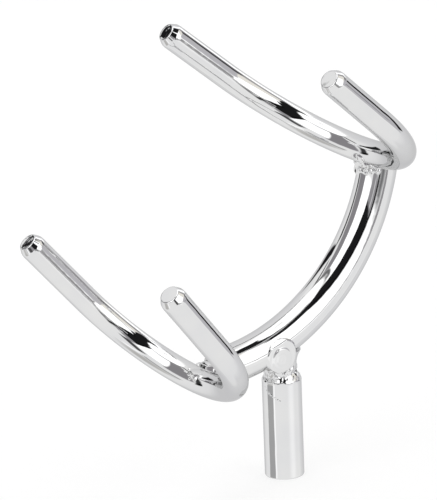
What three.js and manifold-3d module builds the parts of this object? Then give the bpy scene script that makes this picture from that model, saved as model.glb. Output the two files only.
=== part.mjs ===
// Cradle of a guitar rack: a welded frame of solid round steel bar, chrome plated.
// A straight post carries a curved crossbar, and a U-bent fork of thinner rod is welded
// on each end of the crossbar. A guitar's body rests in the two forks.
// Millimetres and degrees, +Z up the post, origin at the centre of the post's foot.
// Every bar is centred on the plane Y = 0, and the forks open towards -X and up.

import * as THREE from 'three';
import { mergeVertices } from 'three/addons/utils/BufferGeometryUtils.js';
import Module from 'manifold-3d';

const wasm = await Module();
wasm.setup();

// Post: a length of 3/4 inch bar, turned down to a blunt end where it is welded
const POST_DIAMETER = 19.05;
const POST_TOP_DIAMETER = 13.0;
const POST_CHAMFER_LENGTH = 4.9;
const FOOT_EDGE_BREAK = 0.8;

// Crossbar: 3/4 inch bar bent to part of a circle, measured up from the circle's lowest point
const CROSSBAR_DIAMETER = 19.05;
const CROSSBAR_RADIUS = 102.8;
const CROSSBAR_LOWER_END = -0.1;
const CROSSBAR_UPPER_END = 80.2;
const CROSSBAR_END_CHAMFER = 2.0;
const CROSSBAR_HEIGHT_AT_POST = 69.0;
const POST_POSITION_ON_CROSSBAR = 22.4;
const POST_WELD_HEIGHT = 5.2;

// Forks: 1/2 inch rod bent by hand, so the two bends differ a little
const ROD_DIAMETER = 12.7;
const UPPER_BEND_RADIUS = 59.7;
const LOWER_BEND_RADIUS = 53.0;
const UPPER_LEG_LENGTH = 40.8;
const LOWER_LEG_LENGTH = 43.7;
const LEG_FLARE = 6.1;
const TIP_FACE_DIAMETER = 9.0;
const TIP_CHAMFER_LENGTH = 4.7;

// How the forks lean back from upright: both about the head's tilt, toed in to each other
const HEAD_TILT = 45.2;
const FORK_TOE_IN = 4.8;

// Where each fork sits on the crossbar's end: out from the crossbar's centreline, and how far
// the bar's end is coped round the rod
const UPPER_SEAT_OFFSET = -5.3;
const LOWER_SEAT_OFFSET = 5.8;
const UPPER_COPE_DEPTH = 4.5;
const LOWER_COPE_DEPTH = 1.4;

// Welds: how wide and how far each runs over the metal, and how deep its middle lies inside
// the bar's inner side and inside the near side of the rod
const FORK_WELD_WIDTH = 19.0;
const FORK_WELD_REACH = 5.5;
const UPPER_WELD_INTO_BAR = 1.5;
const LOWER_WELD_INTO_BAR = 7.0;
const FORK_WELD_INTO_ROD = 1.5;
const POST_WELD_FLARE = 2.0;
const POST_WELD_CLIMB = 6.0;
const WELD_CLEARANCE = 0.3;

// Fineness of the round surfaces
const ROD_SIDES = 20;
const BAR_SIDES = 24;
const POST_SIDES = 48;
const WELD_SIDES = 24;
const WELD_RINGS = 12;
const FORK_STEPS = 40;
const CROSSBAR_STEPS = 28;
const MERGE_DISTANCE = 1e-4;

const POST_RADIUS = POST_DIAMETER / 2;
const CROSSBAR_BAR_RADIUS = CROSSBAR_DIAMETER / 2;
const ROD_RADIUS = ROD_DIAMETER / 2;

const chrome = new THREE.MeshStandardMaterial({ color: 0xd9dbde, metalness: 1, roughness: 0.08 });
const weldChrome = new THREE.MeshStandardMaterial({ color: 0xcfd1d4, metalness: 1, roughness: 0.2 });

const radians = THREE.MathUtils.degToRad;

// The crossbar's circle lies in the plane Y = 0, and passes over the post's axis at the joint
const jointAngle = radians(POST_POSITION_ON_CROSSBAR);
const crossbarCentre = new THREE.Vector3(
  -CROSSBAR_RADIUS * Math.sin(jointAngle),
  0,
  CROSSBAR_HEIGHT_AT_POST + CROSSBAR_RADIUS * Math.cos(jointAngle),
);

function outwardAt(degrees) {
  const angle = radians(degrees);
  return new THREE.Vector3(Math.sin(angle), 0, -Math.cos(angle));
}

function alongAt(degrees) {
  const angle = radians(degrees);
  return new THREE.Vector3(Math.cos(angle), 0, Math.sin(angle));
}

function crossbarPoint(degrees) {
  return crossbarCentre.clone().addScaledVector(outwardAt(degrees), CROSSBAR_RADIUS);
}

class CrossbarCurve extends THREE.Curve {
  constructor(overrun) {
    super();
    this.overrun = THREE.MathUtils.radToDeg(overrun / CROSSBAR_RADIUS);
  }

  getPoint(t, target = new THREE.Vector3()) {
    const low = CROSSBAR_LOWER_END - this.overrun;
    const high = CROSSBAR_UPPER_END + this.overrun;
    return target.copy(crossbarPoint(THREE.MathUtils.lerp(low, high, t)));
  }
}

// A fork's centreline in its own frame: the bend's lowest point is the origin, the prongs point
// up +Z, and the rod runs from the tip of the prong at -Y to the tip of the prong at +Y
class ForkCurve extends THREE.Curve {
  constructor(bendRadius, legLength) {
    super();
    this.bendRadius = bendRadius;
    this.legLength = legLength;
    this.halfBend = Math.PI / 2 - radians(LEG_FLARE);
    this.length = 2 * legLength + 2 * this.halfBend * bendRadius;
  }

  getPoint(t, target = new THREE.Vector3()) {
    const fromMiddle = (t - 0.5) * this.length;
    const bentLength = this.halfBend * this.bendRadius;
    const onBend = THREE.MathUtils.clamp(fromMiddle, -bentLength, bentLength);
    const angle = onBend / this.bendRadius;
    const onLeg = Math.abs(fromMiddle - onBend);
    const side = Math.sign(fromMiddle);
    return target.set(
      0,
      this.bendRadius * Math.sin(angle) + side * onLeg * Math.cos(angle),
      this.bendRadius * (1 - Math.cos(angle)) + onLeg * Math.abs(Math.sin(angle)),
    );
  }
}

function circleShape(radius, sides) {
  const points = [];
  for (let i = 0; i < sides; i += 1) {
    const angle = (2 * Math.PI * i) / sides;
    points.push(new THREE.Vector2(radius * Math.cos(angle), radius * Math.sin(angle)));
  }
  return new THREE.Shape(points);
}

function tubeGeometry(curve, radius, sides, steps) {
  return new THREE.ExtrudeGeometry(circleShape(radius, sides), { steps, extrudePath: curve });
}

// A turned shape about +Z, from [radius, height] pairs
function turnedGeometry(profile, sides) {
  const points = profile.map(([radius, height]) => new THREE.Vector2(radius, height));
  return new THREE.LatheGeometry(points, sides).rotateX(Math.PI / 2);
}

function solidOf(geometry) {
  const bare = geometry.clone();
  bare.deleteAttribute('normal');
  bare.deleteAttribute('uv');
  const merged = mergeVertices(bare, MERGE_DISTANCE);
  return new wasm.Manifold(new wasm.Mesh({
    numProp: 3,
    vertProperties: Float32Array.from(merged.attributes.position.array),
    triVerts: Uint32Array.from(merged.index.array),
  }));
}

function geometryOf(solid) {
  const mesh = solid.getMesh();
  const geometry = new THREE.BufferGeometry();
  geometry.setAttribute('position', new THREE.BufferAttribute(mesh.vertProperties, 3));
  geometry.setIndex(new THREE.BufferAttribute(mesh.triVerts, 1));
  geometry.computeVertexNormals();
  return geometry;
}

// A ring whose inside is the cone of a chamfer, for a bar whose end face is at Z = 0. The cone
// runs on a little at both ends, and the ring is wider than the bar, so nothing is left uncut
function chamferCutter({ radius, faceRadius, length, sides }) {
  const slope = (radius - faceRadius) / length;
  const overrun = length / 4;
  const outer = 2 * radius;
  return turnedGeometry([
    [radius + slope * overrun, -length - overrun],
    [outer, -length - overrun],
    [outer, overrun],
    [faceRadius - slope * overrun, overrun],
    [radius + slope * overrun, -length - overrun],
  ], sides);
}

function forkGeometry(curve) {
  let fork = solidOf(tubeGeometry(curve, ROD_RADIUS, ROD_SIDES, FORK_STEPS));
  for (const side of [-1, 1]) {
    const tip = curve.getPoint((1 + side) / 2);
    const cutter = chamferCutter({
      radius: ROD_RADIUS,
      faceRadius: TIP_FACE_DIAMETER / 2,
      length: TIP_CHAMFER_LENGTH,
      sides: ROD_SIDES,
    });
    cutter.rotateX(-side * radians(LEG_FLARE)).translate(tip.x, tip.y, tip.z);
    fork = fork.subtract(solidOf(cutter));
  }
  return geometryOf(fork);
}

// The two forks: where each is welded, how far it leans back and the room that it needs
function forkAt({ name, bendRadius, legLength, endAngle, beyond, seatOffset, copeDepth, lean }) {
  const curve = new ForkCurve(bendRadius, legLength);
  const mesh = new THREE.Mesh(forkGeometry(curve), chrome);
  mesh.name = name;
  mesh.position.copy(crossbarPoint(endAngle))
    .addScaledVector(alongAt(endAngle), beyond * (ROD_RADIUS - copeDepth))
    .addScaledVector(outwardAt(endAngle), seatOffset);
  mesh.rotation.y = -radians(lean);
  mesh.updateMatrixWorld();
  const room = tubeGeometry(curve, ROD_RADIUS + WELD_CLEARANCE, ROD_SIDES, FORK_STEPS);
  return { mesh, room: solidOf(room.applyMatrix4(mesh.matrixWorld)), endAngle, beyond, copeDepth };
}

const upperFork = forkAt({
  name: 'upper_fork',
  bendRadius: UPPER_BEND_RADIUS,
  legLength: UPPER_LEG_LENGTH,
  endAngle: CROSSBAR_UPPER_END,
  beyond: 1,
  seatOffset: UPPER_SEAT_OFFSET,
  copeDepth: UPPER_COPE_DEPTH,
  lean: HEAD_TILT + FORK_TOE_IN,
});
const lowerFork = forkAt({
  name: 'lower_fork',
  bendRadius: LOWER_BEND_RADIUS,
  legLength: LOWER_LEG_LENGTH,
  endAngle: CROSSBAR_LOWER_END,
  beyond: -1,
  seatOffset: LOWER_SEAT_OFFSET,
  copeDepth: LOWER_COPE_DEPTH,
  lean: HEAD_TILT - FORK_TOE_IN,
});

// The crossbar, its ends chamfered and coped round the forks' rods
function crossbarTube(clearance) {
  const curve = new CrossbarCurve(clearance);
  return solidOf(tubeGeometry(curve, CROSSBAR_BAR_RADIUS + clearance, BAR_SIDES, CROSSBAR_STEPS));
}

function crossbarGeometry() {
  let bar = crossbarTube(0);
  for (const { endAngle, beyond, room } of [upperFork, lowerFork]) {
    const facing = alongAt(endAngle).multiplyScalar(beyond);
    const cutter = chamferCutter({
      radius: CROSSBAR_BAR_RADIUS,
      faceRadius: CROSSBAR_BAR_RADIUS - CROSSBAR_END_CHAMFER,
      length: CROSSBAR_END_CHAMFER,
      sides: BAR_SIDES,
    });
    cutter.rotateY(Math.atan2(facing.x, facing.z)).translate(...crossbarPoint(endAngle).toArray());
    bar = bar.subtract(solidOf(cutter)).subtract(room);
  }
  return geometryOf(bar);
}

const crossbar = new THREE.Mesh(crossbarGeometry(), chrome);
crossbar.name = 'crossbar';
const crossbarRoom = crossbarTube(WELD_CLEARANCE);

// The post stops short of the crossbar's underside by the height of its weld
const undersideHeight = CROSSBAR_HEIGHT_AT_POST - CROSSBAR_BAR_RADIUS / Math.cos(jointAngle);
const postTop = undersideHeight - POST_WELD_HEIGHT;
const post = new THREE.Mesh(turnedGeometry([
  [0, 0],
  [POST_RADIUS - FOOT_EDGE_BREAK, 0],
  [POST_RADIUS, FOOT_EDGE_BREAK],
  [POST_RADIUS, postTop - POST_CHAMFER_LENGTH],
  [POST_TOP_DIAMETER / 2, postTop],
  [0, postTop],
], POST_SIDES), chrome);
post.name = 'post';

// The weld on the post: a neck as wide as the post's end, which flares as it climbs the sides
// of the crossbar
const neckRadius = POST_TOP_DIAMETER / 2;
const weldFoot = postTop + WELD_CLEARANCE;
const weldTop = undersideHeight + POST_WELD_CLIMB;
const postWeldGeometry = turnedGeometry([
  [0, weldFoot],
  [neckRadius, weldFoot],
  [neckRadius, (weldFoot + undersideHeight) / 2],
  [neckRadius + POST_WELD_FLARE / 2, undersideHeight + POST_WELD_CLIMB / 4],
  [neckRadius + POST_WELD_FLARE, undersideHeight + POST_WELD_CLIMB / 2],
  [neckRadius + POST_WELD_FLARE, undersideHeight + (3 * POST_WELD_CLIMB) / 4],
  [neckRadius + POST_WELD_FLARE / 2, weldTop],
  [0, weldTop],
], WELD_SIDES);
const postWeld = new THREE.Mesh(geometryOf(solidOf(postWeldGeometry).subtract(crossbarRoom)), weldChrome);
postWeld.name = 'post_weld';

// The weld in the corner between the crossbar's end and the fork's rod, on the inner side
function forkWeld({ name, fork, intoBar }) {
  const bead = new THREE.SphereGeometry(1, WELD_SIDES, WELD_RINGS)
    .scale(FORK_WELD_REACH, FORK_WELD_WIDTH / 2, FORK_WELD_REACH);
  const outward = outwardAt(fork.endAngle);
  const along = alongAt(fork.endAngle);
  const centre = crossbarPoint(fork.endAngle)
    .addScaledVector(outward, intoBar - CROSSBAR_BAR_RADIUS)
    .addScaledVector(along, fork.beyond * (FORK_WELD_INTO_ROD - fork.copeDepth));
  const place = new THREE.Matrix4().makeBasis(outward, new THREE.Vector3(0, 1, 0), along)
    .setPosition(centre);
  const weld = solidOf(bead.applyMatrix4(place)).subtract(crossbarRoom).subtract(fork.room);
  const mesh = new THREE.Mesh(geometryOf(weld), weldChrome);
  mesh.name = name;
  return mesh;
}

const guitarRack = new THREE.Group();
guitarRack.add(
  post,
  crossbar,
  upperFork.mesh,
  lowerFork.mesh,
  postWeld,
  forkWeld({ name: 'upper_fork_weld', fork: upperFork, intoBar: UPPER_WELD_INTO_BAR }),
  forkWeld({ name: 'lower_fork_weld', fork: lowerFork, intoBar: LOWER_WELD_INTO_BAR }),
);

export default guitarRack;
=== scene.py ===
# Cradle of a guitar rack: solid round steel bars, bent, welded and chrome plated.
# Metres, +Z up the post, origin at the centre of the post's foot.
import math

import bmesh
import bpy
from mathutils import Matrix, Vector, noise


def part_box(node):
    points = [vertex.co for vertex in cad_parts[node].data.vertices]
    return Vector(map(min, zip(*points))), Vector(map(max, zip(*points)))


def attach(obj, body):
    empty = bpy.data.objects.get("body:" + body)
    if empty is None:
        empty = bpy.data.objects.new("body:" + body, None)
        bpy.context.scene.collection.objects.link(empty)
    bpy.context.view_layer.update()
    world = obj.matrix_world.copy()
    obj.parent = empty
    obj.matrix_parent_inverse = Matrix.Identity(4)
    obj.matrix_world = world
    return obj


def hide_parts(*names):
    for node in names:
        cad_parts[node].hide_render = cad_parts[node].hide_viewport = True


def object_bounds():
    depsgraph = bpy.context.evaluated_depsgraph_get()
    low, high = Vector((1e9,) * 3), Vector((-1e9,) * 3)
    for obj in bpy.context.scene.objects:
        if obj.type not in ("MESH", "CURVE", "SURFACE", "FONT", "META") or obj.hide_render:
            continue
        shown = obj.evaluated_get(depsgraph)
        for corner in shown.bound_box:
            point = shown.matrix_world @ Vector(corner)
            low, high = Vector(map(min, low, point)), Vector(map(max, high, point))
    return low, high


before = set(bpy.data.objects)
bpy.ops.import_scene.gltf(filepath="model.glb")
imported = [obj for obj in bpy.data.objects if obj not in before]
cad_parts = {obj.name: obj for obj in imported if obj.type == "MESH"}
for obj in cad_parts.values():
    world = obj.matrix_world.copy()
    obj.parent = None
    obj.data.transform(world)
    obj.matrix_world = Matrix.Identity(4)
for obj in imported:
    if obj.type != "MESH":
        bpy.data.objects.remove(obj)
cad_low, cad_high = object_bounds()


# Post: a length of solid 3/4 inch round bar, faced square at its foot. Its top is turned down
# to a blunt cone, so that the weld can run in under the crossbar. Chrome plated with the rest.
POST_SIDES = 128
POST_TOP_RADIUS = 0.0065
POST_CHAMFER_LENGTH = 0.0049
POST_EDGE_ROUNDING = 0.0005
FOOT_EDGE_BREAK = 0.0008
TOLERANCE = 1e-6


def bright_plate(name, roughness, smear, ripple, ripple_size):
    """Mirror chrome: faint smears in its gloss and the slight waviness of polished bar."""
    material = bpy.data.materials.new(name)
    material.use_nodes = True
    nodes = material.node_tree.nodes
    links = material.node_tree.links
    shader = nodes["Principled BSDF"]
    shader.inputs["Metallic"].default_value = 1.0
    place = nodes.new("ShaderNodeTexCoord")

    smears = nodes.new("ShaderNodeTexNoise")
    smears.inputs["Scale"].default_value = 60.0
    smears.inputs["Detail"].default_value = 6.0
    links.new(place.outputs["Object"], smears.inputs["Vector"])
    gloss = nodes.new("ShaderNodeMapRange")
    gloss.inputs["From Min"].default_value = 0.4
    gloss.inputs["From Max"].default_value = 0.75
    gloss.inputs["To Min"].default_value = roughness
    gloss.inputs["To Max"].default_value = roughness + smear
    links.new(smears.outputs["Fac"], gloss.inputs["Value"])
    links.new(gloss.outputs["Result"], shader.inputs["Roughness"])

    tint = nodes.new("ShaderNodeValToRGB")
    tint.color_ramp.elements[0].position = 0.35
    tint.color_ramp.elements[0].color = (0.725, 0.727, 0.735, 1.0)
    tint.color_ramp.elements[1].position = 0.7
    tint.color_ramp.elements[1].color = (0.765, 0.765, 0.76, 1.0)
    links.new(smears.outputs["Fac"], tint.inputs["Fac"])
    links.new(tint.outputs["Color"], shader.inputs["Base Color"])
    shader.inputs["Specular Tint"].default_value = (0.75, 0.75, 0.75, 1.0)

    waves = nodes.new("ShaderNodeTexNoise")
    waves.inputs["Scale"].default_value = 1.0 / ripple_size
    waves.inputs["Detail"].default_value = 1.5
    links.new(place.outputs["Object"], waves.inputs["Vector"])
    bump = nodes.new("ShaderNodeBump")
    bump.inputs["Distance"].default_value = ripple
    links.new(waves.outputs["Fac"], bump.inputs["Height"])
    links.new(bump.outputs["Normal"], shader.inputs["Normal"])
    return material


def plated_piece(name, bm, material, node):
    """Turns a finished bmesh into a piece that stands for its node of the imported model."""
    bmesh.ops.recalc_face_normals(bm, faces=bm.faces)
    mesh = bpy.data.meshes.new(name)
    bm.to_mesh(mesh)
    bm.free()
    mesh.shade_smooth()
    mesh.materials.append(material)
    piece = bpy.data.objects.new(name, mesh)
    bpy.context.scene.collection.objects.link(piece)
    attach(piece, "root")
    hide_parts(node)
    return piece


def steady_shading(piece):
    """Keeps the long faces' own normals up to the small rounded edges beside them."""
    weighted = piece.modifiers.new("weighted_normals", "WEIGHTED_NORMAL")
    weighted.weight = 100


bar_chrome = bright_plate("bar_chrome", roughness=0.015, smear=0.05, ripple=0.0001, ripple_size=0.009)

post_low, post_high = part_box("post")
POST_RADIUS = (post_high.x - post_low.x) / 2
bm = bmesh.new()
bmesh.ops.create_circle(bm, cap_ends=True, segments=POST_SIDES, radius=POST_RADIUS)
shoulder = bmesh.ops.extrude_face_region(bm, geom=bm.faces[:])
shoulder_ring = [v for v in shoulder["geom"] if isinstance(v, bmesh.types.BMVert)]
bmesh.ops.translate(bm, vec=(0, 0, post_high.z - POST_CHAMFER_LENGTH), verts=shoulder_ring)
top_face = [f for f in shoulder["geom"] if isinstance(f, bmesh.types.BMFace)]
top = bmesh.ops.extrude_face_region(bm, geom=top_face)
top_ring = [v for v in top["geom"] if isinstance(v, bmesh.types.BMVert)]
shrink = POST_TOP_RADIUS / POST_RADIUS
bmesh.ops.scale(bm, vec=(shrink, shrink, 1), verts=top_ring)
bmesh.ops.translate(bm, vec=(0, 0, POST_CHAMFER_LENGTH), verts=top_ring)
bmesh.ops.delete(bm, geom=top_face, context="FACES_ONLY")


def rim_edges(bm, inside):
    """The edges whose both ends pass the test."""
    return [e for e in bm.edges if all(inside(v.co) for v in e.verts)]


def round_off(bm, rims, size, segments):
    """Breaks sharp rims with a small rounded edge."""
    bmesh.ops.bevel(bm, geom=rims, offset=size, offset_type="OFFSET", segments=segments,
                    profile=0.5, affect="EDGES", material=-1)


foot_rim = rim_edges(bm, lambda p: p.z < TOLERANCE)
round_off(bm, foot_rim, FOOT_EDGE_BREAK, 2)
shoulder_height = post_high.z - POST_CHAMFER_LENGTH
upper_rims = rim_edges(bm, lambda p: p.z > shoulder_height - TOLERANCE)
upper_rims = [e for e in upper_rims if abs(e.verts[0].co.z - e.verts[1].co.z) < TOLERANCE]
round_off(bm, upper_rims, POST_EDGE_ROUNDING, 4)
post = plated_piece("post_bar", bm, bar_chrome, "post")
steady_shading(post)


# Crossbar: the same 3/4 inch bar, rolled to part of a circle and chamfered at both ends. The
# post carries it off its middle, and its ends are coped round the forks' rods and welded.
CROSSBAR_SIDES = 128
CROSSBAR_STEPS = 40
CROSSBAR_BAR_RADIUS = 0.009525
CROSSBAR_RADIUS = 0.1028
CROSSBAR_LOWER_END = math.radians(-0.1)
CROSSBAR_UPPER_END = math.radians(80.2)
CROSSBAR_END_CHAMFER = 0.0021
CROSSBAR_HEIGHT_AT_POST = 0.069
POST_POSITION_ON_CROSSBAR = math.radians(22.4)

crossbar_centre = Vector((
    -CROSSBAR_RADIUS * math.sin(POST_POSITION_ON_CROSSBAR),
    0,
    CROSSBAR_HEIGHT_AT_POST + CROSSBAR_RADIUS * math.cos(POST_POSITION_ON_CROSSBAR),
))


def outward_at(angle):
    return Vector((math.sin(angle), 0, -math.cos(angle)))


def along_at(angle):
    return Vector((math.cos(angle), 0, math.sin(angle)))


def crossbar_point(angle):
    return crossbar_centre + CROSSBAR_RADIUS * outward_at(angle)


def edges_of(geometry):
    return [g for g in geometry if isinstance(g, bmesh.types.BMEdge)]


def verts_of(geometry):
    return [g for g in geometry if isinstance(g, bmesh.types.BMVert)]


def crossbar_length(low, high, steps, sides):
    """A stretch of the crossbar's round bar, closed at both ends."""
    bm = bmesh.new()
    turn = Matrix.Rotation(math.pi / 2 - low, 4, "Y")
    place = Matrix.Translation(crossbar_point(low)) @ turn
    bmesh.ops.create_circle(bm, segments=sides, radius=CROSSBAR_BAR_RADIUS, matrix=place)
    first = bm.edges[:]
    swept = bmesh.ops.spin(bm, geom=bm.verts[:] + first, cent=crossbar_centre, axis=(0, -1, 0),
                           angle=high - low, steps=steps)
    last = edges_of(swept["geom_last"])
    for ring in (first, last):
        bmesh.ops.contextual_create(bm, geom=ring)
    return bm, first + last


bm, end_rims = crossbar_length(CROSSBAR_LOWER_END, CROSSBAR_UPPER_END, CROSSBAR_STEPS, CROSSBAR_SIDES)
round_off(bm, end_rims, CROSSBAR_END_CHAMFER, 3)
crossbar = plated_piece("crossbar_bar", bm, bar_chrome, "crossbar")
steady_shading(crossbar)


# Forks: two lengths of 1/2 inch rod, each bent by hand to a U with prongs that flare a little.
# Both tips are ground to a blunt nose; one tip of each kept a rough, crumpled face from the saw.
# Each fork lies across an end of the crossbar.
ROD_SIDES = 96
BEND_STEPS = 160
LEG_STEPS = 24
ROD_RADIUS = 0.00635
UPPER_BEND_RADIUS = 0.0597
LOWER_BEND_RADIUS = 0.0530
UPPER_LEG_LENGTH = 0.0408
LOWER_LEG_LENGTH = 0.0437
LEG_FLARE = math.radians(6.1)
TIP_LENGTH = 0.0047
# Each ring of a tip: its length past the one before, and its radius.
TIP_RINGS = (
    (0.0016, 0.00617),
    (0.0031, 0.00455),
)
TIP_EDGE_ROUNDING = 0.0005
SAW_RINGS = 13
SAW_RING_WIDTH = 0.0003
SAW_GRAIN = Vector((0.0080, 0.0036, 0.0036))
SAW_DEPTH = 0.0004
SAW_FINE_SHARE = 0.15
SAW_FINE_SCALE = 2.1
HEAD_TILT = math.radians(45.2)
FORK_TOE_IN = math.radians(4.8)
UPPER_SEAT_OFFSET = -0.0053
LOWER_SEAT_OFFSET = 0.0058
UPPER_COPE_DEPTH = 0.0045
LOWER_COPE_DEPTH = 0.0014
HALF_BEND = math.pi / 2 - LEG_FLARE


def lengthen(bm, ring, shift, size=1.0):
    """Draws a ring of edges on by the shift, and sizes its new ring."""
    drawn = bmesh.ops.extrude_edge_only(bm, edges=ring)["geom"]
    verts = verts_of(drawn)
    bmesh.ops.translate(bm, vec=shift, verts=verts)
    middle = sum((v.co for v in verts), Vector()) / len(verts)
    bmesh.ops.scale(bm, vec=(size, size, size), space=Matrix.Translation(-middle), verts=verts)
    fresh = set(verts)
    return [e for e in edges_of(drawn) if e.verts[0] in fresh and e.verts[1] in fresh]


def draw_out(bm, ring, shift, steps):
    """Draws a round ring on by the shift, in even steps and at its own size."""
    for step in range(steps):
        ring = lengthen(bm, ring, shift / steps)
    return ring


def saw_marks(bm, face):
    """Crumples a tip's flat face inwards, in strokes that run across the fork."""
    inward = -face.normal.copy()
    middle = face.calc_center_median()
    rim = max((v.co - middle).length for v in face.verts)
    for ring in range(SAW_RINGS):
        bmesh.ops.inset_region(bm, faces=[face], thickness=SAW_RING_WIDTH)
    for vert in bm.verts:
        arm = vert.co - middle
        if arm.length > rim - SAW_RING_WIDTH / 2 or abs(arm.dot(inward)) > TOLERANCE:
            continue
        spot = Vector(a / b for a, b in zip(vert.co, SAW_GRAIN))
        ridge = abs(noise.noise(spot)) + SAW_FINE_SHARE * abs(noise.noise(SAW_FINE_SCALE * spot))
        share = min((rim - arm.length) / (2 * SAW_RING_WIDTH), 1.0)
        vert.co += inward * ridge * share * SAW_DEPTH


def bent_rod(bend_radius, leg_length):
    """A fork in its own frame: the bend's lowest point is the origin, the prongs point up +Z."""
    bm = bmesh.new()
    to_start = Matrix.Rotation(-HALF_BEND, 4, "X") @ Matrix.Translation((0, 0, -bend_radius))
    place = Matrix.Translation((0, 0, bend_radius)) @ to_start @ Matrix.Rotation(-math.pi / 2, 4, "X")
    bmesh.ops.create_circle(bm, segments=ROD_SIDES, radius=ROD_RADIUS, matrix=place)
    first = bm.edges[:]
    swept = bmesh.ops.spin(bm, geom=bm.verts[:] + first, cent=(0, 0, bend_radius), axis=(1, 0, 0),
                           angle=2 * HALF_BEND, steps=BEND_STEPS)
    rims = []
    for side, ring in ((-1, first), (1, edges_of(swept["geom_last"]))):
        towards_tip = Vector((0, side * math.cos(HALF_BEND), math.sin(HALF_BEND)))
        leg = towards_tip * (leg_length - TIP_LENGTH)
        ring = draw_out(bm, ring, leg, LEG_STEPS)
        rims += ring
        radius = ROD_RADIUS
        for length, next_radius in TIP_RINGS:
            ring = lengthen(bm, ring, towards_tip * length, next_radius / radius)
            radius = next_radius
            rims += ring
        bmesh.ops.contextual_create(bm, geom=ring)
    round_off(bm, rims, TIP_EDGE_ROUNDING, 5)
    bmesh.ops.recalc_face_normals(bm, faces=bm.faces)
    tip_faces = [f for f in bm.faces if len(f.verts) == ROD_SIDES]
    saw_marks(bm, max(tip_faces, key=lambda f: f.calc_center_median().y))
    return bm


def fork_place(end_angle, beyond, seat_offset, cope_depth, lean):
    """Where a fork's own frame lies: on the crossbar's end, leaning back from upright."""
    seat = crossbar_point(end_angle)
    seat += along_at(end_angle) * beyond * (ROD_RADIUS - cope_depth)
    seat += outward_at(end_angle) * seat_offset
    return Matrix.Translation(seat) @ Matrix.Rotation(-lean, 4, "Y")


upper_fork_place = fork_place(CROSSBAR_UPPER_END, 1, UPPER_SEAT_OFFSET, UPPER_COPE_DEPTH,
                              HEAD_TILT + FORK_TOE_IN)
lower_fork_place = fork_place(CROSSBAR_LOWER_END, -1, LOWER_SEAT_OFFSET, LOWER_COPE_DEPTH,
                              HEAD_TILT - FORK_TOE_IN)
for node, place, bend_radius, leg_length in (
    ("upper_fork", upper_fork_place, UPPER_BEND_RADIUS, UPPER_LEG_LENGTH),
    ("lower_fork", lower_fork_place, LOWER_BEND_RADIUS, LOWER_LEG_LENGTH),
):
    bm = bent_rod(bend_radius, leg_length)
    bmesh.ops.transform(bm, matrix=place, verts=bm.verts)
    fork = plated_piece(node + "_rod", bm, bar_chrome, node)
    steady_shading(fork)


# Post weld: steel run in all round between the post's blunt end and the crossbar's underside,
# and drawn smooth up both sides of it. Its foot, rough from the torch, laps the post's shoulder.
WELD_GRAIN = 0.00025
WELD_SETTLE = 0.00006
WELD_EDGE = 0.00025
WELD_SIDES = 96
POST_WELD_ROUNDS = 30
CROSSBAR_MIDDLE_START = math.radians(8)
CROSSBAR_MIDDLE_END = math.radians(30)
CROSSBAR_MIDDLE_STEPS = 40
# Each ring of the neck: its height, its shift along X and its radius.
NECK_RINGS = (
    (0.0495, -0.0010, 0.0076),
    (0.0545, -0.0006, 0.0079),
    (0.0573, -0.0003, 0.0077),
    (0.0600, 0.0004, 0.0079),
    (0.0628, 0.0014, 0.0087),
)
CHEEK_RADIUS = 0.0084
CHEEK_DEPTH = 0.0036
CHEEK_LEAN = math.radians(2.0)
CHEEK_MIDDLE = Vector((-0.0061, 0.0079, 0.0629))
LAST_DROP_RADII = (0.0060, 0.0005, 0.0066)
LAST_DROP_MIDDLE = Vector((-0.0064, 0.0096, 0.0613))
LAP_HEIGHT = 0.0004
LAP_EASE = 0.0030
SHOULDER_LAP = 0.00015
SHOULDER_LAP_DEPTH = 0.0040
PUDDLE_RING = 0.0024
PUDDLE_RING_HEIGHT = 0.00002
SHOULDER_ROUGHNESS = 0.0006
SHOULDER_GRAIN = 0.0026
SHOULDER_FINE_SHARE = 0.4
SHOULDER_FINE_SCALE = 2.3
ROUGH_TOP_ABOVE_POST = 0.003
ROUGH_FADE = 0.002
RUN_DROPS = 9
RUN_DROP_RADIUS = 0.0013
RUN_DROP_VARIATION = 0.35
RUN_DROP_RHYTHM = 2.4
RUN_DROP_PROUD = 0.00022
RUN_START = math.radians(170)
RUN_TURN = math.radians(58)
RUN_TOP = 0.0489
RUN_FALL = 0.0090


def above_crossbar(point):
    """How far a point lies outside the crossbar's round surface."""
    arm = point - crossbar_centre
    return math.hypot(math.hypot(arm.x, arm.z) - CROSSBAR_RADIUS, arm.y) - CROSSBAR_BAR_RADIUS


def above_post(point):
    """How far a point lies outside the post or its chamfer."""
    taper = (POST_RADIUS - POST_TOP_RADIUS) / POST_CHAMFER_LENGTH
    radius = POST_RADIUS - taper * max(0.0, point.z - shoulder_height)
    return max(math.hypot(point.x, point.y) - radius, point.z - post_high.z)


def add_to(bm, other):
    """Puts another bmesh's faces into this one."""
    mesh = bpy.data.meshes.new("form")
    other.to_mesh(mesh)
    other.free()
    bm.from_mesh(mesh)
    bpy.data.meshes.remove(mesh)


def puddle(bm, middle, radii, turn=Matrix.Identity(4)):
    """A drop of weld metal: an ellipsoid."""
    place = Matrix.Translation(middle) @ turn @ Matrix.Diagonal((*radii, 1.0))
    bmesh.ops.create_icosphere(bm, subdivisions=4, radius=1.0, matrix=place)


def run_together(bm, rounds):
    """Melts overlapping closed forms to one skin and draws it smooth, which fills its corners."""
    mesh = bpy.data.meshes.new("weld_blank")
    bm.to_mesh(mesh)
    bm.free()
    blank = bpy.data.objects.new("weld_blank", mesh)
    bpy.context.scene.collection.objects.link(blank)
    melt = blank.modifiers.new("melt", "REMESH")
    melt.mode = "VOXEL"
    melt.voxel_size = WELD_GRAIN
    draw = blank.modifiers.new("draw", "SMOOTH")
    draw.factor = 0.5
    draw.iterations = rounds
    skin = bmesh.new()
    skin.from_object(blank, bpy.context.evaluated_depsgraph_get())
    bpy.data.objects.remove(blank)
    return skin


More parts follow.
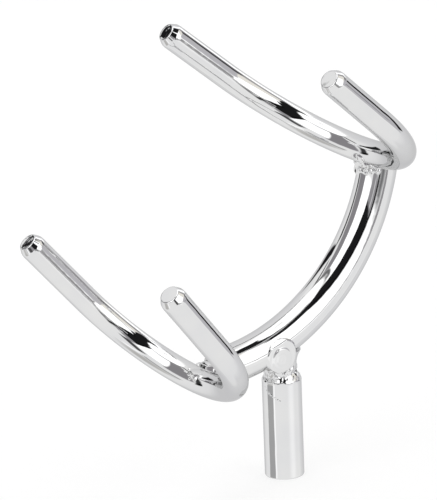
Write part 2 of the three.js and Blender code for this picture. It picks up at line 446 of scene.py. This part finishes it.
def settle(bm, above, relief):
    """Sinks the skin's thin edge into the bars, and works the relief into what stands proud."""
    bm.normal_update()
    moves = []
    for vert in bm.verts:
        proud = above(vert.co)
        share = min(max(proud / WELD_EDGE, 0.0), 1.0)
        share = share * share * (3 - 2 * share)
        height = share * relief(vert.co) - (1 - share) * WELD_SETTLE
        moves.append((vert, vert.normal * height))
    for vert, move in moves:
        vert.co += move


def lap_down(bm):
    """Presses the weld down on the crossbar's upper half, where only a thin lap of it stands proud."""
    for vert in bm.verts:
        arm = vert.co - crossbar_centre
        bar_middle = crossbar_centre + Vector((arm.x, 0, arm.z)).normalized() * CROSSBAR_RADIUS
        rise = CROSSBAR_RADIUS - math.hypot(arm.x, arm.z)
        allowed = LAP_HEIGHT + max(LAP_EASE - rise, 0.0)
        if above_crossbar(vert.co) > allowed:
            outward = (vert.co - bar_middle).normalized()
            vert.co = bar_middle + outward * (CROSSBAR_BAR_RADIUS + allowed)


weld_chrome = bright_plate("weld_chrome", roughness=0.03, smear=0.06, ripple=0.00004, ripple_size=0.003)

bm = crossbar_length(CROSSBAR_MIDDLE_START, CROSSBAR_MIDDLE_END, CROSSBAR_MIDDLE_STEPS, WELD_SIDES)[0]
neck_low, neck_shift, neck_radius = NECK_RINGS[0]
neck = bmesh.ops.create_circle(bm, segments=WELD_SIDES, radius=neck_radius,
                               matrix=Matrix.Translation((neck_shift, 0, neck_low)))
ring = list({e for v in neck["verts"] for e in v.link_edges})
bmesh.ops.contextual_create(bm, geom=ring)
for height, shift, radius in NECK_RINGS[1:]:
    ring = lengthen(bm, ring, Vector((shift - neck_shift, 0, height - neck_low)), radius / neck_radius)
    neck_low, neck_shift, neck_radius = height, shift, radius
bmesh.ops.contextual_create(bm, geom=ring)
bmesh.ops.recalc_face_normals(bm, faces=bm.faces)
bmesh.ops.create_cone(bm, cap_ends=True, segments=WELD_SIDES, radius1=POST_RADIUS + SHOULDER_LAP,
                      radius2=POST_TOP_RADIUS + SHOULDER_LAP, depth=POST_CHAMFER_LENGTH,
                      matrix=Matrix.Translation((0, 0, post_high.z - POST_CHAMFER_LENGTH / 2)))
bmesh.ops.create_cone(bm, cap_ends=True, segments=WELD_SIDES, radius1=POST_RADIUS - SHOULDER_LAP,
                      radius2=POST_RADIUS + SHOULDER_LAP, depth=SHOULDER_LAP_DEPTH,
                      matrix=Matrix.Translation((0, 0, shoulder_height - SHOULDER_LAP_DEPTH / 2)))
for side in (-1, 1):
    to_side = Matrix.Diagonal((1, side, 1))
    lean = Matrix.Rotation(-side * CHEEK_LEAN, 4, "X")
    across = Matrix.Rotation(math.pi / 2, 4, "X")
    bmesh.ops.create_cone(bm, cap_ends=True, segments=WELD_SIDES, radius1=CHEEK_RADIUS,
                          radius2=CHEEK_RADIUS, depth=CHEEK_DEPTH,
                          matrix=Matrix.Translation(to_side @ CHEEK_MIDDLE) @ lean @ across)
    puddle(bm, to_side @ LAST_DROP_MIDDLE, LAST_DROP_RADII, lean)
skin = run_together(bm, POST_WELD_ROUNDS)
lap_down(skin)
for drop in range(RUN_DROPS):
    share = drop / (RUN_DROPS - 1)
    radius = RUN_DROP_RADIUS * (1 + RUN_DROP_VARIATION * math.sin(RUN_DROP_RHYTHM * drop))
    angle = RUN_START + RUN_TURN * share
    reach = POST_RADIUS + RUN_DROP_PROUD - radius
    height = RUN_TOP - RUN_FALL * math.sqrt(share)
    puddle(skin, Vector((reach * math.cos(angle), reach * math.sin(angle), height)), (radius,) * 3)


def post_weld_relief(point):
    """Faint rings round each cheek's puddle, and a crumpled surface down on the shoulder."""
    middle = Vector((LAST_DROP_MIDDLE.x, math.copysign(LAST_DROP_MIDDLE.y, point.y), LAST_DROP_MIDDLE.z))
    rings = math.cos((point - middle).length * 2 * math.pi / PUDDLE_RING) * PUDDLE_RING_HEIGHT
    fine = noise.noise(SHOULDER_FINE_SCALE * point / SHOULDER_GRAIN)
    rough = noise.noise(point / SHOULDER_GRAIN) + SHOULDER_FINE_SHARE * fine
    low = min(max((post_high.z + ROUGH_TOP_ABOVE_POST - point.z) / ROUGH_FADE, 0.0), 1.0)
    return rings * (1 - low) + rough * SHOULDER_ROUGHNESS * low


settle(skin, lambda p: min(above_crossbar(p), above_post(p)), post_weld_relief)
plated_piece("post_weld_bead", skin, weld_chrome, "post_weld")


# Fork welds: run in the corner between each end of the crossbar and the rod across it, from the
# forks' open side, in short overlapping beads that the plating left sharp and bright.
ROD_STUB = math.radians(19)
ROD_STUB_SIDES = 64
ROD_STUB_STEPS = 40
CROSSBAR_STUB_RADIANS = 0.20
CROSSBAR_STUB_STEPS = 6
FORK_WELD_ROUNDS = 14
BEAD_ROUGHNESS = 0.0006
BEAD_GRAIN = 0.0026
UNMOVED_RIDGE = 0.35


def above_rod(point, into_fork, bend_radius):
    """How far a point lies outside a fork's bend."""
    own = into_fork @ point
    return math.hypot(math.hypot(own.y, own.z - bend_radius) - bend_radius, own.x) - ROD_RADIUS


def rod_stub(place, bend_radius):
    """The middle of a fork's bend, closed at both ends."""
    bm = bmesh.new()
    start = Matrix.Translation((0, 0, bend_radius)) @ Matrix.Rotation(-ROD_STUB, 4, "X")
    start = start @ Matrix.Translation((0, 0, -bend_radius)) @ Matrix.Rotation(-math.pi / 2, 4, "X")
    bmesh.ops.create_circle(bm, segments=ROD_STUB_SIDES, radius=ROD_RADIUS, matrix=start)
    first = bm.edges[:]
    swept = bmesh.ops.spin(bm, geom=bm.verts[:] + first, cent=(0, 0, bend_radius), axis=(1, 0, 0),
                           angle=2 * ROD_STUB, steps=ROD_STUB_STEPS)
    for ring in (first, edges_of(swept["geom_last"])):
        bmesh.ops.contextual_create(bm, geom=ring)
    bmesh.ops.transform(bm, matrix=place, verts=bm.verts)
    return bm


def bead_relief(point):
    """Short sharp crumples, as the overlapping beads have."""
    ridge = abs(noise.noise(point / BEAD_GRAIN))
    return (UNMOVED_RIDGE - ridge) * BEAD_ROUGHNESS


# Each bead's middle and its half sizes: out from the crossbar's curve, along Y, past its end.
for node, place, bend_radius, end_angle, beyond, beads in (
    ("upper_fork_weld", upper_fork_place, UPPER_BEND_RADIUS, CROSSBAR_UPPER_END, 1, (
        ((-0.0088, 0.0000, -0.0036), (0.0016, 0.0078, 0.0022)),
        ((-0.0090, 0.0010, -0.0070), (0.0010, 0.0056, 0.0034)),
        ((-0.0104, 0.0022, -0.0004), (0.0014, 0.0060, 0.0026)),
        ((-0.0080, 0.0048, -0.0048), (0.0016, 0.0016, 0.0020)),
        ((-0.0090, 0.0012, -0.0066), (0.0014, 0.0015, 0.0018)),
        ((-0.0087, -0.0024, -0.0056), (0.0015, 0.0016, 0.0018)),
        ((-0.0074, -0.0054, -0.0060), (0.0014, 0.0014, 0.0018)),
        ((-0.0054, -0.0074, -0.0058), (0.0013, 0.0013, 0.0018)),
        ((-0.0078, 0.0046, -0.0090), (0.0010, 0.0012, 0.0022)),
    )),
    ("lower_fork_weld", lower_fork_place, LOWER_BEND_RADIUS, CROSSBAR_LOWER_END, -1, (
        ((-0.0008, 0.0010, 0.0010), (0.0033, 0.0076, 0.0034)),
        ((0.0012, 0.0030, 0.0068), (0.0020, 0.0066, 0.0038)),
        ((-0.0004, 0.0090, 0.0016), (0.0013, 0.0018, 0.0020)),
        ((0.0006, 0.0088, 0.0080), (0.0014, 0.0016, 0.0014)),
        ((0.0018, 0.0062, 0.0094), (0.0014, 0.0016, 0.0014)),
        ((0.0034, 0.0048, 0.0104), (0.0010, 0.0013, 0.0010)),
        ((0.0012, 0.0030, 0.0090), (0.0014, 0.0015, 0.0014)),
        ((0.0026, 0.0012, 0.0101), (0.0012, 0.0014, 0.0012)),
        ((0.0014, -0.0016, 0.0091), (0.0013, 0.0014, 0.0013)),
        ((-0.0006, -0.0070, 0.0014), (0.0028, 0.0026, 0.0026)),
    )),
):
    stub_ends = sorted((end_angle, end_angle - beyond * CROSSBAR_STUB_RADIANS))
    bm, stub_rims = crossbar_length(*stub_ends, CROSSBAR_STUB_STEPS, WELD_SIDES)
    round_off(bm, stub_rims, CROSSBAR_END_CHAMFER, 3)
    add_to(bm, rod_stub(place, bend_radius))
    out = outward_at(end_angle)
    past = along_at(end_angle) * beyond
    turn = Matrix((out, Vector((0, 1, 0)), past)).transposed().to_4x4()
    for spot, radii in beads:
        puddle(bm, crossbar_point(end_angle) + turn @ Vector(spot), radii, turn)
    bmesh.ops.recalc_face_normals(bm, faces=bm.faces)
    skin = run_together(bm, FORK_WELD_ROUNDS)
    into_fork = place.inverted()
    settle(skin, lambda p: min(above_crossbar(p), above_rod(p, into_fork, bend_radius)), bead_relief)
    plated_piece(node.replace("_weld", "_weld_bead"), skin, weld_chrome, node)


# Floor: plain, pale and matt. It looks as white as the background to the camera and in the
# metal, but a part of it is still lit paint, which keeps the object's shadow.
FLOOR_SIZE = 12.0
FLOOR_DROP = 0.0002
FLOOR_LIT_SHARE = 0.3
FLOOR_PAINT = (0.9, 0.9, 0.9, 1.0)
FLOOR_GLOW = 0.76

bm = bmesh.new()
bmesh.ops.create_grid(bm, x_segments=1, y_segments=1, size=FLOOR_SIZE / 2,
                      matrix=Matrix.Translation((0, 0, -FLOOR_DROP)))
floor_mesh = bpy.data.meshes.new("floor")
bm.to_mesh(floor_mesh)
bm.free()
floor = bpy.data.objects.new("floor", floor_mesh)
bpy.context.scene.collection.objects.link(floor)
floor_paint = bpy.data.materials.new("floor_paint")
floor_paint.use_nodes = True
nodes = floor_paint.node_tree.nodes
links = floor_paint.node_tree.links
nodes.clear()
seen = nodes.new("ShaderNodeLightPath")
camera_or_glossy = nodes.new("ShaderNodeMath")
camera_or_glossy.operation = "MAXIMUM"
links.new(seen.outputs["Is Camera Ray"], camera_or_glossy.inputs[0])
links.new(seen.outputs["Is Glossy Ray"], camera_or_glossy.inputs[1])
seen_directly = nodes.new("ShaderNodeMath")
seen_directly.operation = "MAXIMUM"
links.new(camera_or_glossy.outputs["Value"], seen_directly.inputs[0])
links.new(seen.outputs["Is Transmission Ray"], seen_directly.inputs[1])
glow_share = nodes.new("ShaderNodeMath")
glow_share.operation = "MULTIPLY"
links.new(seen_directly.outputs["Value"], glow_share.inputs[0])
glow_share.inputs[1].default_value = 1 - FLOOR_LIT_SHARE
lit = nodes.new("ShaderNodeBsdfDiffuse")
lit.inputs["Color"].default_value = FLOOR_PAINT
glow = nodes.new("ShaderNodeEmission")
glow.inputs["Strength"].default_value = FLOOR_GLOW / (1 - FLOOR_LIT_SHARE)
paint = nodes.new("ShaderNodeMixShader")
links.new(glow_share.outputs["Value"], paint.inputs["Fac"])
links.new(lit.outputs["BSDF"], paint.inputs[1])
links.new(glow.outputs["Emission"], paint.inputs[2])
floor_surface = nodes.new("ShaderNodeOutputMaterial")
links.new(paint.outputs["Shader"], floor_surface.inputs["Surface"])
floor.data.materials.append(floor_paint)
floor.visible_glossy = False


# Studio: white all round, with softboxes overhead and on both sides, and dark gaps between
# them on the camera's side. Bright chrome shows nothing but these. Each panel hangs between
# four corners, in degrees: its azimuth from -Y towards +X and its height above the horizon.
PANEL_DISTANCE = 5.0
PANEL_STEPS = 24

world = bpy.data.worlds.new("white_room")
world.use_nodes = True
world.node_tree.nodes["Background"].inputs["Color"].default_value = (1, 1, 1, 1)
bpy.context.scene.world = world


def towards(azimuth, height):
    azimuth = math.radians(azimuth)
    height = math.radians(height)
    return Vector((
        math.sin(azimuth) * math.cos(height),
        -math.cos(azimuth) * math.cos(height),
        math.sin(height),
    ))


def panel_cloth(name, colour, soft_sides, soft_ends, cover):
    """Evenly bright cloth that fades out towards the panel's edges."""
    material = bpy.data.materials.new(name)
    material.use_nodes = True
    nodes = material.node_tree.nodes
    links = material.node_tree.links
    nodes.clear()
    place = nodes.new("ShaderNodeUVMap")
    place.uv_map = "panel"
    split = nodes.new("ShaderNodeSeparateXYZ")
    links.new(place.outputs["UV"], split.inputs["Vector"])
    strength = None
    for axis, soft in (("X", soft_sides), ("Y", soft_ends)):
        for start, end in ((0, soft), (1, 1 - soft)):
            fade = nodes.new("ShaderNodeMapRange")
            fade.interpolation_type = "SMOOTHSTEP"
            fade.inputs["From Min"].default_value = start
            fade.inputs["From Max"].default_value = end
            if end < start:
                fade.inputs["From Min"].default_value = end
                fade.inputs["From Max"].default_value = start
                fade.inputs["To Min"].default_value = 1
                fade.inputs["To Max"].default_value = 0
            links.new(split.outputs[axis], fade.inputs["Value"])
            if strength is None:
                strength = fade.outputs["Result"]
                continue
            both = nodes.new("ShaderNodeMath")
            both.operation = "MULTIPLY"
            links.new(strength, both.inputs[0])
            links.new(fade.outputs["Result"], both.inputs[1])
            strength = both.outputs["Value"]
    covered = nodes.new("ShaderNodeMath")
    covered.operation = "MULTIPLY"
    covered.inputs[1].default_value = cover
    links.new(strength, covered.inputs[0])
    clear = nodes.new("ShaderNodeBsdfTransparent")
    glow = nodes.new("ShaderNodeEmission")
    glow.inputs["Color"].default_value = (*colour, 1.0)
    mix = nodes.new("ShaderNodeMixShader")
    links.new(covered.outputs["Value"], mix.inputs["Fac"])
    links.new(clear.outputs["BSDF"], mix.inputs[1])
    links.new(glow.outputs["Emission"], mix.inputs[2])
    surface = nodes.new("ShaderNodeOutputMaterial")
    links.new(mix.outputs["Shader"], surface.inputs["Surface"])
    return material


def hang_panel(name, corners, colour, soft_sides=0.05, soft_ends=0.05, cover=1.0, distance=PANEL_DISTANCE):
    """Corners go round from low left: low left, low right, high right, high left."""
    bm = bmesh.new()
    uv = bm.loops.layers.uv.new("panel")
    bmesh.ops.create_grid(bm, x_segments=PANEL_STEPS, y_segments=PANEL_STEPS, size=0.5)
    low_left, low_right, high_right, high_left = (Vector(corner) for corner in corners)
    for face in bm.faces:
        for loop in face.loops:
            loop[uv].uv = (loop.vert.co.x + 0.5, loop.vert.co.y + 0.5)
    for vert in bm.verts:
        across = vert.co.x + 0.5
        up = vert.co.y + 0.5
        spot = low_left.lerp(low_right, across).lerp(high_left.lerp(high_right, across), up)
        vert.co = PANEL_CENTRE + towards(*spot) * distance
    mesh = bpy.data.meshes.new(name)
    bm.to_mesh(mesh)
    bm.free()
    mesh.materials.append(panel_cloth(name, colour, soft_sides, soft_ends, cover))
    panel = bpy.data.objects.new(name, mesh)
    bpy.context.scene.collection.objects.link(panel)
    panel.visible_camera = False


PANEL_CENTRE = (cad_low + cad_high) / 2
SOFTBOX = (1.6, 1.6, 1.6)
LOW_FILL = (1.3, 1.3, 1.3)
IVORY = (1.0, 0.97, 0.90)
PALE = (0.87, 0.87, 0.88)
MIST = (0.58, 0.57, 0.60)
LINEN = (0.55, 0.54, 0.52)
STONE = (0.40, 0.40, 0.40)
GREY = (0.30, 0.29, 0.305)
SLATE = (0.20, 0.20, 0.205)
CHARCOAL = (0.05, 0.05, 0.052)
ROOM = (0.014, 0.014, 0.015)
BLACK = (0.004, 0.004, 0.004)

hang_panel("back_wall", ((60, -72), (200, -72), (200, 64), (60, 64)), PALE, 0.2, 0.08, distance=6.4)
hang_panel("overhead_softbox", ((-180, 61), (104, 61), (104, 90), (-180, 90)), SOFTBOX, 0.02, 0.08,
           distance=6.0)
hang_panel("overhead_back_softbox", ((98, 58), (184, 58), (184, 90), (98, 90)), SOFTBOX, 0.02, 0.5,
           distance=6.1)

hang_panel("left_softbox", ((-101, 8), (-50, 8), (-46, 58), (-101, 58)), SOFTBOX, 0.09, 0.06)
hang_panel("left_grey_cloth", ((-142, -4), (-96, -2), (-96, 60), (-132, 60)), GREY, 0.12, 0.1,
           distance=5.4)
hang_panel("left_dark_stand", ((-152, -10), (-139, -10), (-139, 33), (-156, 33)), CHARCOAL, 0.3, 0.12,
           distance=5.2)
hang_panel("left_stand_pole", ((-150, 38), (-144.5, 38), (-134, 60), (-145, 60)), ROOM, 0.25, 0.15,
           distance=5.16)
hang_panel("left_stand_foot", ((-154, -9), (-143, -9), (-143, 3), (-154, 3)), BLACK, 0.25, 0.25,
           distance=5.15)
hang_panel("left_slanting_arm", ((-188, 4), (-147, 31), (-147, 37), (-188, 25)), ROOM, 0.1, 0.2,
           distance=5.1)
hang_panel("left_top_gap", ((-150, 55), (-48, 57), (-48, 61), (-150, 62)), ROOM, 0.25, 0.35, 0.8,
           distance=4.8)

hang_panel("dark_room", ((-54, 16), (-12, 8), (3, 62), (-48, 62)), ROOM, 0.06, 0.05, distance=4.6)
hang_panel("dark_room_left_rim", ((-54, 14), (-47, 14), (-38, 58), (-46, 58)), BLACK, 0.25, 0.1,
           distance=4.55)
hang_panel("dark_room_right_rim", ((-21, 4), (-12, 4), (-6, 50), (-14, 50)), BLACK, 0.3, 0.1, 0.95,
           distance=4.55)
hang_panel("dark_room_lobe", ((-12, 46), (30, 49), (30, 64), (-12, 62)), ROOM, 0.2, 0.15, distance=4.62)
hang_panel("front_grey_floor", ((-56, 0), (-10, -2), (-8, 20), (-56, 20)), GREY, 0.1, 0.2, 0.9,
           distance=4.9)
hang_panel("front_light_line", ((-37, 2), (-30, 2), (-26, 15), (-33, 15)), PALE, 0.35, 0.2, 0.8,
           distance=4.85)
hang_panel("front_black_line", ((-27, -12), (-15, -12), (-8, 12), (-21, 12)), BLACK, 0.35, 0.25, 0.95,
           distance=4.84)
hang_panel("front_low_dark", ((-80, -15), (-45, -15), (-48, 6), (-80, 4)), CHARCOAL, 0.15, 0.2, 0.95,
           distance=4.95)
hang_panel("front_slope", ((-36, -12), (30, -19), (30, -8), (-30, 12)), SLATE, 0.5, 0.3, distance=5.05)
hang_panel("front_slope_line", ((14, -14), (30, -15), (30, -10), (16, -3)), GREY, 0.2, 0.35, 0.9,
           distance=5.04)

hang_panel("right_softbox", ((-15, -10), (46, -14), (46, 57), (-8, 57)), SOFTBOX, 0.16, 0.1,
           distance=5.3)
hang_panel("right_ivory_cloth", ((40, 4), (78, 10), (78, 60), (40, 60)), IVORY, 0.12, 0.06,
           distance=5.2)
hang_panel("right_grey_cloth", ((66, 8), (96, 8), (96, 58), (70, 58)), GREY, 0.35, 0.1, 0.9,
           distance=5.1)
hang_panel("right_dark_patch", ((66, 13), (83, 15), (85, 29), (68, 27)), CHARCOAL, 0.2, 0.2,
           distance=5.0)
hang_panel("right_black_card", ((75, -12), (90, -10), (92, 10), (77, 10)), BLACK, 0.2, 0.12,
           distance=4.9)
hang_panel("right_low_cloth", ((30, -6), (78, -21), (80, 30), (34, 11)), MIST, 0.1, 0.1, 0.95,
           distance=5.15)
hang_panel("right_softbox_frame", ((18.5, -13), (25.5, -11), (36, 1), (29, 1)), STONE, 0.3, 0.2,
           distance=5.13)
hang_panel("right_low_dark", ((50, -9), (70, -4), (70, 2), (50, -3)), GREY, 0.3, 0.35, 0.6,
           distance=5.14)
hang_panel("right_end_softbox", ((90, 12), (116, 14), (116, 62), (88, 62)), SOFTBOX, 0.22, 0.08,
           distance=5.25)
hang_panel("right_top_gap", ((-32, 58), (92, 63), (92, 78), (-32, 67)), ROOM, 0.06, 0.25, distance=4.5)
hang_panel("right_top_gap_edge", ((-20, 57), (84, 53), (86, 68), (-20, 66)), ROOM, 0.06, 0.15,
           distance=4.4)

hang_panel("left_low_cloth", ((-140, -58), (-90, -50), (-86, -22), (-134, -16)), LINEN, 0.3, 0.35, 0.9,
           distance=6.1)
hang_panel("left_low_shelf", ((-131, -24), (-88, -24), (-88, -15), (-131, -15)), STONE, 0.08, 0.2, 0.9,
           distance=5.7)
hang_panel("left_low_fill", ((-90, -40), (-80, -40), (-78, -12), (-88, -12)), LOW_FILL, 0.3, 0.2, 0.95,
           distance=5.6)
hang_panel("right_low_fill", ((-10, -25), (44, -25), (44, -15), (-10, -15)), LOW_FILL, 0.45, 0.2, 0.5,
           distance=5.6)


# Camera: at the photograph's viewing angle, far off with a long lens, turned a little on its axis.
CAMERA_AZIMUTH = math.radians(-35.54)
CAMERA_ELEVATION = math.radians(16.39)
CAMERA_ROLL = math.radians(-2.13)
CAMERA_DISTANCE = 2.0077
CAMERA_LENS = 302.4
PICTURE_MIDDLE = Vector((-0.0108, 0.0327, 0.1072))

camera_data = bpy.data.cameras.new("camera")
camera_data.lens = CAMERA_LENS
camera_data.sensor_width = 36.0
camera = bpy.data.objects.new("camera", camera_data)
bpy.context.scene.collection.objects.link(camera)
backwards = Vector((
    math.sin(CAMERA_AZIMUTH) * math.cos(CAMERA_ELEVATION),
    -math.cos(CAMERA_AZIMUTH) * math.cos(CAMERA_ELEVATION),
    math.sin(CAMERA_ELEVATION),
))
facing = backwards.to_track_quat("Z", "Y").to_matrix().to_4x4()
roll = Matrix.Rotation(CAMERA_ROLL, 4, "Z")
camera.matrix_world = Matrix.Translation(PICTURE_MIDDLE + backwards * CAMERA_DISTANCE) @ facing @ roll
bpy.context.scene.camera = camera
bpy.context.scene.view_settings.view_transform = "Standard"
